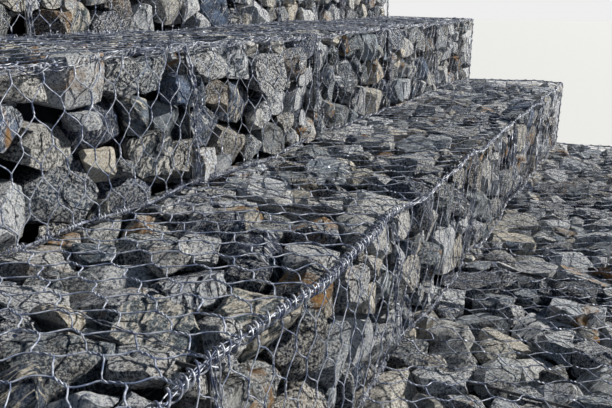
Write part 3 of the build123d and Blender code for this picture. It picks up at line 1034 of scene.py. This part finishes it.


# Materials: the zinc of every wire, with painted glints and painted shade along it, is one group, with each
# wire's own colours

# Each wire's pale colour stands partly for painted glints and its dark colour partly for painted shade, mixed
# along the wire by noise
wireLooks = {   # pale and dark colour, and where on the noise the pale begins
    # Near black all through: painted shade for the diaphragms inside, where they show through gaps
    "shadedWire": ((0.10, 0.105, 0.115), (0.035, 0.038, 0.045), 0.42),
    "netWire": ((0.52, 0.56, 0.66), (0.14, 0.18, 0.29), 0.42),
    "edgeWire": ((0.58, 0.61, 0.68), (0.06, 0.08, 0.15), 0.45),
    # The next wire is a darker copy of the edge wire: painted shade for the bundles at each tier's foot
    "shadedFootWire": ((0.20, 0.22, 0.28), (0.05, 0.06, 0.10), 0.42),
}
zincAndGlintLook = {
    "scale": 45.0, "detail": 4.0, "blend": 0.13, "noise": (0.35, 0.65), "roughness": (0.55, 0.40),
    "metallic": 0.25,
}
stoneLook = {
    "noises": {   # scale, detail, roughness, distortion
        "broad": (14.0, 6.0, 0.70, 0.5), "mottles": (72.0, 8.0, 0.95, 0.15), "grain": (130.0, 4.0, 0.90, 0.0),
        "bands": (12.0, 7.0, 0.72, 1.3), "rust": (9.0, 5.0, 0.65, 0.8),
    },
    "bandStretch": (1.0, 1.0, 5.0),
    "kindFromRust": 7.3, "warmthFromTone": 5.7,   # two more random values for each stone
    "broadShade": (0.40, 0.60, 0.20, 1.35),       # noise from and to, and the shade there
    "stoneShade": (0.0, 1.0, 0.36, 1.36),
    "banded": (0.52, 0.60), "paleEdge": (0.60, 0.41), "paleBlend": 0.025, "warm": (0.45, 0.85),
    "grainy": (0.95, 0.15), "paleGrain": (0.520, 0.545), "darkGrain": (0.480, 0.455),
    "palePoint": (0.84, 0.84, 0.83), "darkPoint": (0.014, 0.020, 0.042),
    "rustPatch": (0.50, 0.62), "rustShare": (0.82, 0.90, 0.0, 0.95),
    "ground": (
        (0.00, (0.014, 0.024, 0.055)), (0.22, (0.032, 0.054, 0.112)), (0.38, (0.086, 0.132, 0.222)),
        (0.50, (0.090, 0.124, 0.140)), (0.62, (0.136, 0.182, 0.240)), (0.77, (0.255, 0.300, 0.345)),
        (0.92, (0.520, 0.515, 0.495)), (1.00, (0.340, 0.265, 0.175)),
    ),
    "coolPale": ((0.42, (0.38, 0.43, 0.52)), (0.50, (0.75, 0.79, 0.85)), (0.58, (0.90, 0.91, 0.92))),
    "warmPale": ((0.42, (0.50, 0.43, 0.33)), (0.50, (0.79, 0.73, 0.62)), (0.58, (0.88, 0.85, 0.78))),
    "rust": ((0.40, (0.11, 0.055, 0.022)), (0.50, (0.36, 0.19, 0.070)), (0.62, (0.58, 0.41, 0.22))),
    "mottleHeight": 0.8, "grainHeight": 0.16, "bump": 0.014, "roughness": 0.88, "shine": 0.08,
}
# Near-black colours of the rubble: painted shade deep in the gaps between the stones
shadedRubbleLook = {
    "scale": 14.0, "detail": 5.0, "bump": 0.03, "bumpStrength": 0.8, "roughness": 0.95, "shine": 0.1,
    "colours": ((0.35, (0.006, 0.007, 0.010)), (0.65, (0.024, 0.027, 0.033))),
}


def newMaterial(name):
    material = bpy.data.materials.new(name)
    material.use_nodes = True
    tree = material.node_tree
    return material, tree, tree.nodes["Principled BSDF"]


def colourRamp(tree, factor, stops):
    ramp = addNode(tree, "ShaderNodeValToRGB", {"Fac": factor})
    elements = ramp.color_ramp.elements
    while len(elements) < len(stops):
        elements.new(0.5)
    for element, (place, colour) in zip(elements, stops):
        element.position = place
        element.color = (*colour, 1)
    return ramp.outputs["Color"]


def mixColours(tree, factor, first, second, blend="MIX"):
    mix = addNode(tree, "ShaderNodeMix", data_type="RGBA", blend_type=blend)
    for socket, given in ((0, factor), (6, first), (7, second)):
        if isinstance(given, bpy.types.NodeSocket):
            tree.links.new(given, mix.inputs[socket])
        else:
            mix.inputs[socket].default_value = given if socket == 0 else (*given, 1)
    return mix.outputs[2]


def noise(tree, vector, scale, detail=4.0, roughness=0.6, distortion=0.0):
    return addNode(tree, "ShaderNodeTexNoise", {
        "Vector": vector, "Scale": scale, "Detail": detail, "Roughness": roughness, "Distortion": distortion,
    }).outputs["Fac"]


def remap(tree, value, low, high, outLow=0.0, outHigh=1.0):
    return addNode(tree, "ShaderNodeMapRange", {
        "Value": value, "From Min": low, "From Max": high, "To Min": outLow, "To Max": outHigh,
    }).outputs["Result"]


def addBump(tree, shader, height, distance, strength=1.0):
    bump = addNode(tree, "ShaderNodeBump", {"Height": height, "Strength": strength, "Distance": distance})
    tree.links.new(bump.outputs[0], shader.inputs["Normal"])


def stoneMaterial():
    # Broken quarry rock: slate blue, grey and greenish ground, pale mottles or bands, grain, some rust
    look = stoneLook
    material, tree, shader = newMaterial("quarryStone")
    spot = addNode(tree, "ShaderNodeAttribute", attribute_name="stoneSpot").outputs["Vector"]
    tint = addNode(tree, "ShaderNodeAttribute", attribute_name="stoneTint")
    parts = addNode(tree, "ShaderNodeSeparateColor", {"Color": tint.outputs["Color"]})
    tone, hue, pale = parts.outputs[0], parts.outputs[1], parts.outputs[2]
    rust = tint.outputs["Alpha"]
    kind = calculate(tree, "FRACT", calculate(tree, "MULTIPLY", rust, look["kindFromRust"]))
    warmth = calculate(tree, "FRACT", calculate(tree, "MULTIPLY", tone, look["warmthFromTone"]))
    stretched = addNode(tree, "ShaderNodeMapping", {"Vector": spot, "Scale": look["bandStretch"]}).outputs[0]
    field = {name: noise(tree, stretched if name == "bands" else spot, *values)
             for name, values in look["noises"].items()}

    toned = calculate(tree, "MULTIPLY", remap(tree, field["broad"], *look["broadShade"]),
                      remap(tree, tone, *look["stoneShade"]))
    shade = addNode(tree, "ShaderNodeCombineColor", {0: toned, 1: toned, 2: toned}).outputs[0]
    surface = mixColours(tree, 1.0, colourRamp(tree, hue, look["ground"]), shade, "MULTIPLY")

    pattern = addNode(tree, "ShaderNodeMix", {
        0: remap(tree, kind, *look["banded"]), 2: field["mottles"], 3: field["bands"]}, data_type="FLOAT")
    edge = remap(tree, pale, 0.0, 1.0, *look["paleEdge"])
    past = calculate(tree, "SUBTRACT", pattern.outputs[0], edge)
    coolPale = colourRamp(tree, field["grain"], look["coolPale"])
    warmPale = colourRamp(tree, field["grain"], look["warmPale"])
    palePart = mixColours(tree, remap(tree, warmth, *look["warm"]), coolPale, warmPale)
    surface = mixColours(tree, remap(tree, past, 0.0, look["paleBlend"]), surface, palePart)

    grainy = remap(tree, kind, 0.0, 1.0, *look["grainy"])
    for limits, colour in (("paleGrain", "palePoint"), ("darkGrain", "darkPoint")):
        points = calculate(tree, "MULTIPLY", remap(tree, field["grain"], *look[limits]), grainy)
        surface = mixColours(tree, points, surface, look[colour])

    patch = remap(tree, field["rust"], *look["rustPatch"])
    rusty = calculate(tree, "MULTIPLY", patch, remap(tree, rust, *look["rustShare"]))
    surface = mixColours(tree, rusty, surface, colourRamp(tree, field["mottles"], look["rust"]))

    height = calculate(tree, "ADD", calculate(tree, "MULTIPLY", field["mottles"], look["mottleHeight"]),
                       calculate(tree, "MULTIPLY", field["grain"], look["grainHeight"]))
    tree.links.new(surface, shader.inputs["Base Color"])
    addBump(tree, shader, height, look["bump"])
    shader.inputs["Roughness"].default_value = look["roughness"]
    shader.inputs["Specular IOR Level"].default_value = look["shine"]
    return material


def shadedRubbleMaterial():
    # Near-black lumpy stone, as painted shade seen through the gaps
    look = shadedRubbleLook
    material, tree, shader = newMaterial("shadedRubble")
    where = addNode(tree, "ShaderNodeTexCoord").outputs["Object"]
    shade = noise(tree, where, look["scale"], look["detail"])
    tree.links.new(colourRamp(tree, shade, look["colours"]), shader.inputs["Base Color"])
    addBump(tree, shader, shade, look["bump"], look["bumpStrength"])
    shader.inputs["Roughness"].default_value = look["roughness"]
    shader.inputs["Specular IOR Level"].default_value = look["shine"]
    return material


def zincAndGlintGroup():
    # Brighter and duller stretches along a zinc-coated wire, as a colour and a roughness: the pale stretches
    # are partly painted glints and the dark ones partly painted shade
    tree = bpy.data.node_groups.new("zincAndGlintStretches", "ShaderNodeTree")
    for label, kind in (("Vector", "Vector"), ("Pale", "Color"), ("Dark", "Color"), ("Start", "Float")):
        tree.interface.new_socket(label, in_out="INPUT", socket_type=f"NodeSocket{kind}")
    for label, kind in (("Colour", "Color"), ("Roughness", "Float")):
        tree.interface.new_socket(label, in_out="OUTPUT", socket_type=f"NodeSocket{kind}")
    given = addNode(tree, "NodeGroupInput").outputs
    result = addNode(tree, "NodeGroupOutput")
    stretches = noise(tree, given["Vector"], zincAndGlintLook["scale"], zincAndGlintLook["detail"])
    paleEnd = calculate(tree, "ADD", given["Start"], zincAndGlintLook["blend"])
    bright = remap(tree, stretches, given["Start"], paleEnd)
    tree.links.new(mixColours(tree, bright, given["Dark"], given["Pale"]), result.inputs["Colour"])
    rough = remap(tree, stretches, *zincAndGlintLook["noise"], *zincAndGlintLook["roughness"])
    tree.links.new(rough, result.inputs["Roughness"])
    return tree


def wireMaterial(name, group):
    pale, dark, start = wireLooks[name]
    material, tree, shader = newMaterial(name)
    where = addNode(tree, "ShaderNodeTexCoord").outputs["Object"]
    zinc = tree.nodes.new("ShaderNodeGroup")
    zinc.node_tree = group
    tree.links.new(where, zinc.inputs["Vector"])
    zinc.inputs["Pale"].default_value = (*pale, 1)
    zinc.inputs["Dark"].default_value = (*dark, 1)
    zinc.inputs["Start"].default_value = start
    tree.links.new(zinc.outputs["Colour"], shader.inputs["Base Color"])
    tree.links.new(zinc.outputs["Roughness"], shader.inputs["Roughness"])
    shader.inputs["Metallic"].default_value = zincAndGlintLook["metallic"]
    return material


quarryStone = stoneMaterial()
shadedRubble = shadedRubbleMaterial()
zincAndGlintStretches = zincAndGlintGroup()
wires = {name: wireMaterial(name, zincAndGlintStretches) for name in wireLooks}
for piece in baskets:
    piece.data.materials.append(quarryStone)
for piece in rubble:
    piece.data.materials.append(shadedRubble)
print("materials made")


def countTriangles(pieces):
    for piece in pieces:
        piece.data.calc_loop_triangles()
    return sum(len(piece.data.loop_triangles) for piece in pieces)


hexNet, panels, allNets = netTree(), {}, []
for face in wallFaces():
    sheet, nets = buildNet(face, hexNet, wires["netWire"])
    panels[face["name"]] = (face, sheet)
    allNets += nets
print("nets:", len(allNets), "pieces,", countTriangles(allNets), "triangles")

edges = buildEdges(wireTree(), wires, panels)
print("edges:", len(edges), "pieces,", countTriangles(edges), "triangles")

# The diaphragms inside get a near-black wire colour as painted shade, so that where they show through gaps
# they read as dark voids
for node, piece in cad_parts.items():
    if node.startswith("diaphragms"):
        piece.data.materials.clear()
        piece.data.materials.append(wires["shadedWire"])

# Floor, lights and background

stageSizes = {
    "lamps": {   # strength, angle in degrees, direction that it comes from, colour
        "keyLamp": (5.5, 3.0, (0.63, -0.54, 0.45), (1.0, 0.96, 0.88)),
        "backLamp": (1.6, 25.0, (-0.12, 0.93, 0.34), (0.93, 0.96, 1.0)),
    },
    "fillStrength": 0.13, "fillColour": (0.42, 0.66, 1.0), "backdrop": 0.86,
    "floor": 60.0, "floorRoughness": 0.9,
    "floorColour": (0.72, 0.72, 0.71), "floorBounce": (0.22, 0.22, 0.22),   # as seen, and as it gives light
}


def seenRays(tree):
    # 1 where the floor or backdrop is looked at, straight or in a reflection, and 0 where it only gives light
    path = addNode(tree, "ShaderNodeLightPath").outputs
    return calculate(tree, "MAXIMUM", path["Is Camera Ray"], calculate(
        tree, "MAXIMUM", path["Is Glossy Ray"], path["Is Transmission Ray"]))


def buildStage():
    corners = np.array([(-1, -1, 0), (1, -1, 0), (1, 1, 0), (-1, 1, 0)]) * stageSizes["floor"]
    floor = meshObject("floor", corners, np.array([[0, 1, 2, 3]]))
    material, tree, shader = newMaterial("paleFloor")
    colour = mixColours(tree, seenRays(tree), stageSizes["floorBounce"], stageSizes["floorColour"])
    tree.links.new(colour, shader.inputs["Base Color"])
    shader.inputs["Roughness"].default_value = stageSizes["floorRoughness"]
    floor.data.materials.append(material)
    for name, (strength, angle, comesFrom, colour) in stageSizes["lamps"].items():
        lamp = bpy.data.lights.new(name, "SUN")
        lamp.energy = strength
        lamp.angle = math.radians(angle)
        lamp.color = colour
        lampObject = linkObject(name, lamp)
        lampObject.rotation_mode = "QUATERNION"
        lampObject.rotation_quaternion = Vector(comesFrom).to_track_quat("Z", "Y")
    world = bpy.data.worlds.new("studio")
    scene.world = world
    world.use_nodes = True
    tree = world.node_tree
    background = tree.nodes["Background"]
    direct = seenRays(tree)
    seen = stageSizes["backdrop"]
    colour = mixColours(tree, direct, stageSizes["fillColour"], (seen, seen, seen))
    tree.links.new(colour, background.inputs["Color"])
    strength = remap(tree, direct, 0.0, 1.0, stageSizes["fillStrength"], 1.0)
    tree.links.new(strength, background.inputs["Strength"])


buildStage()
scene.view_settings.view_transform = "Standard"
print("stage made")
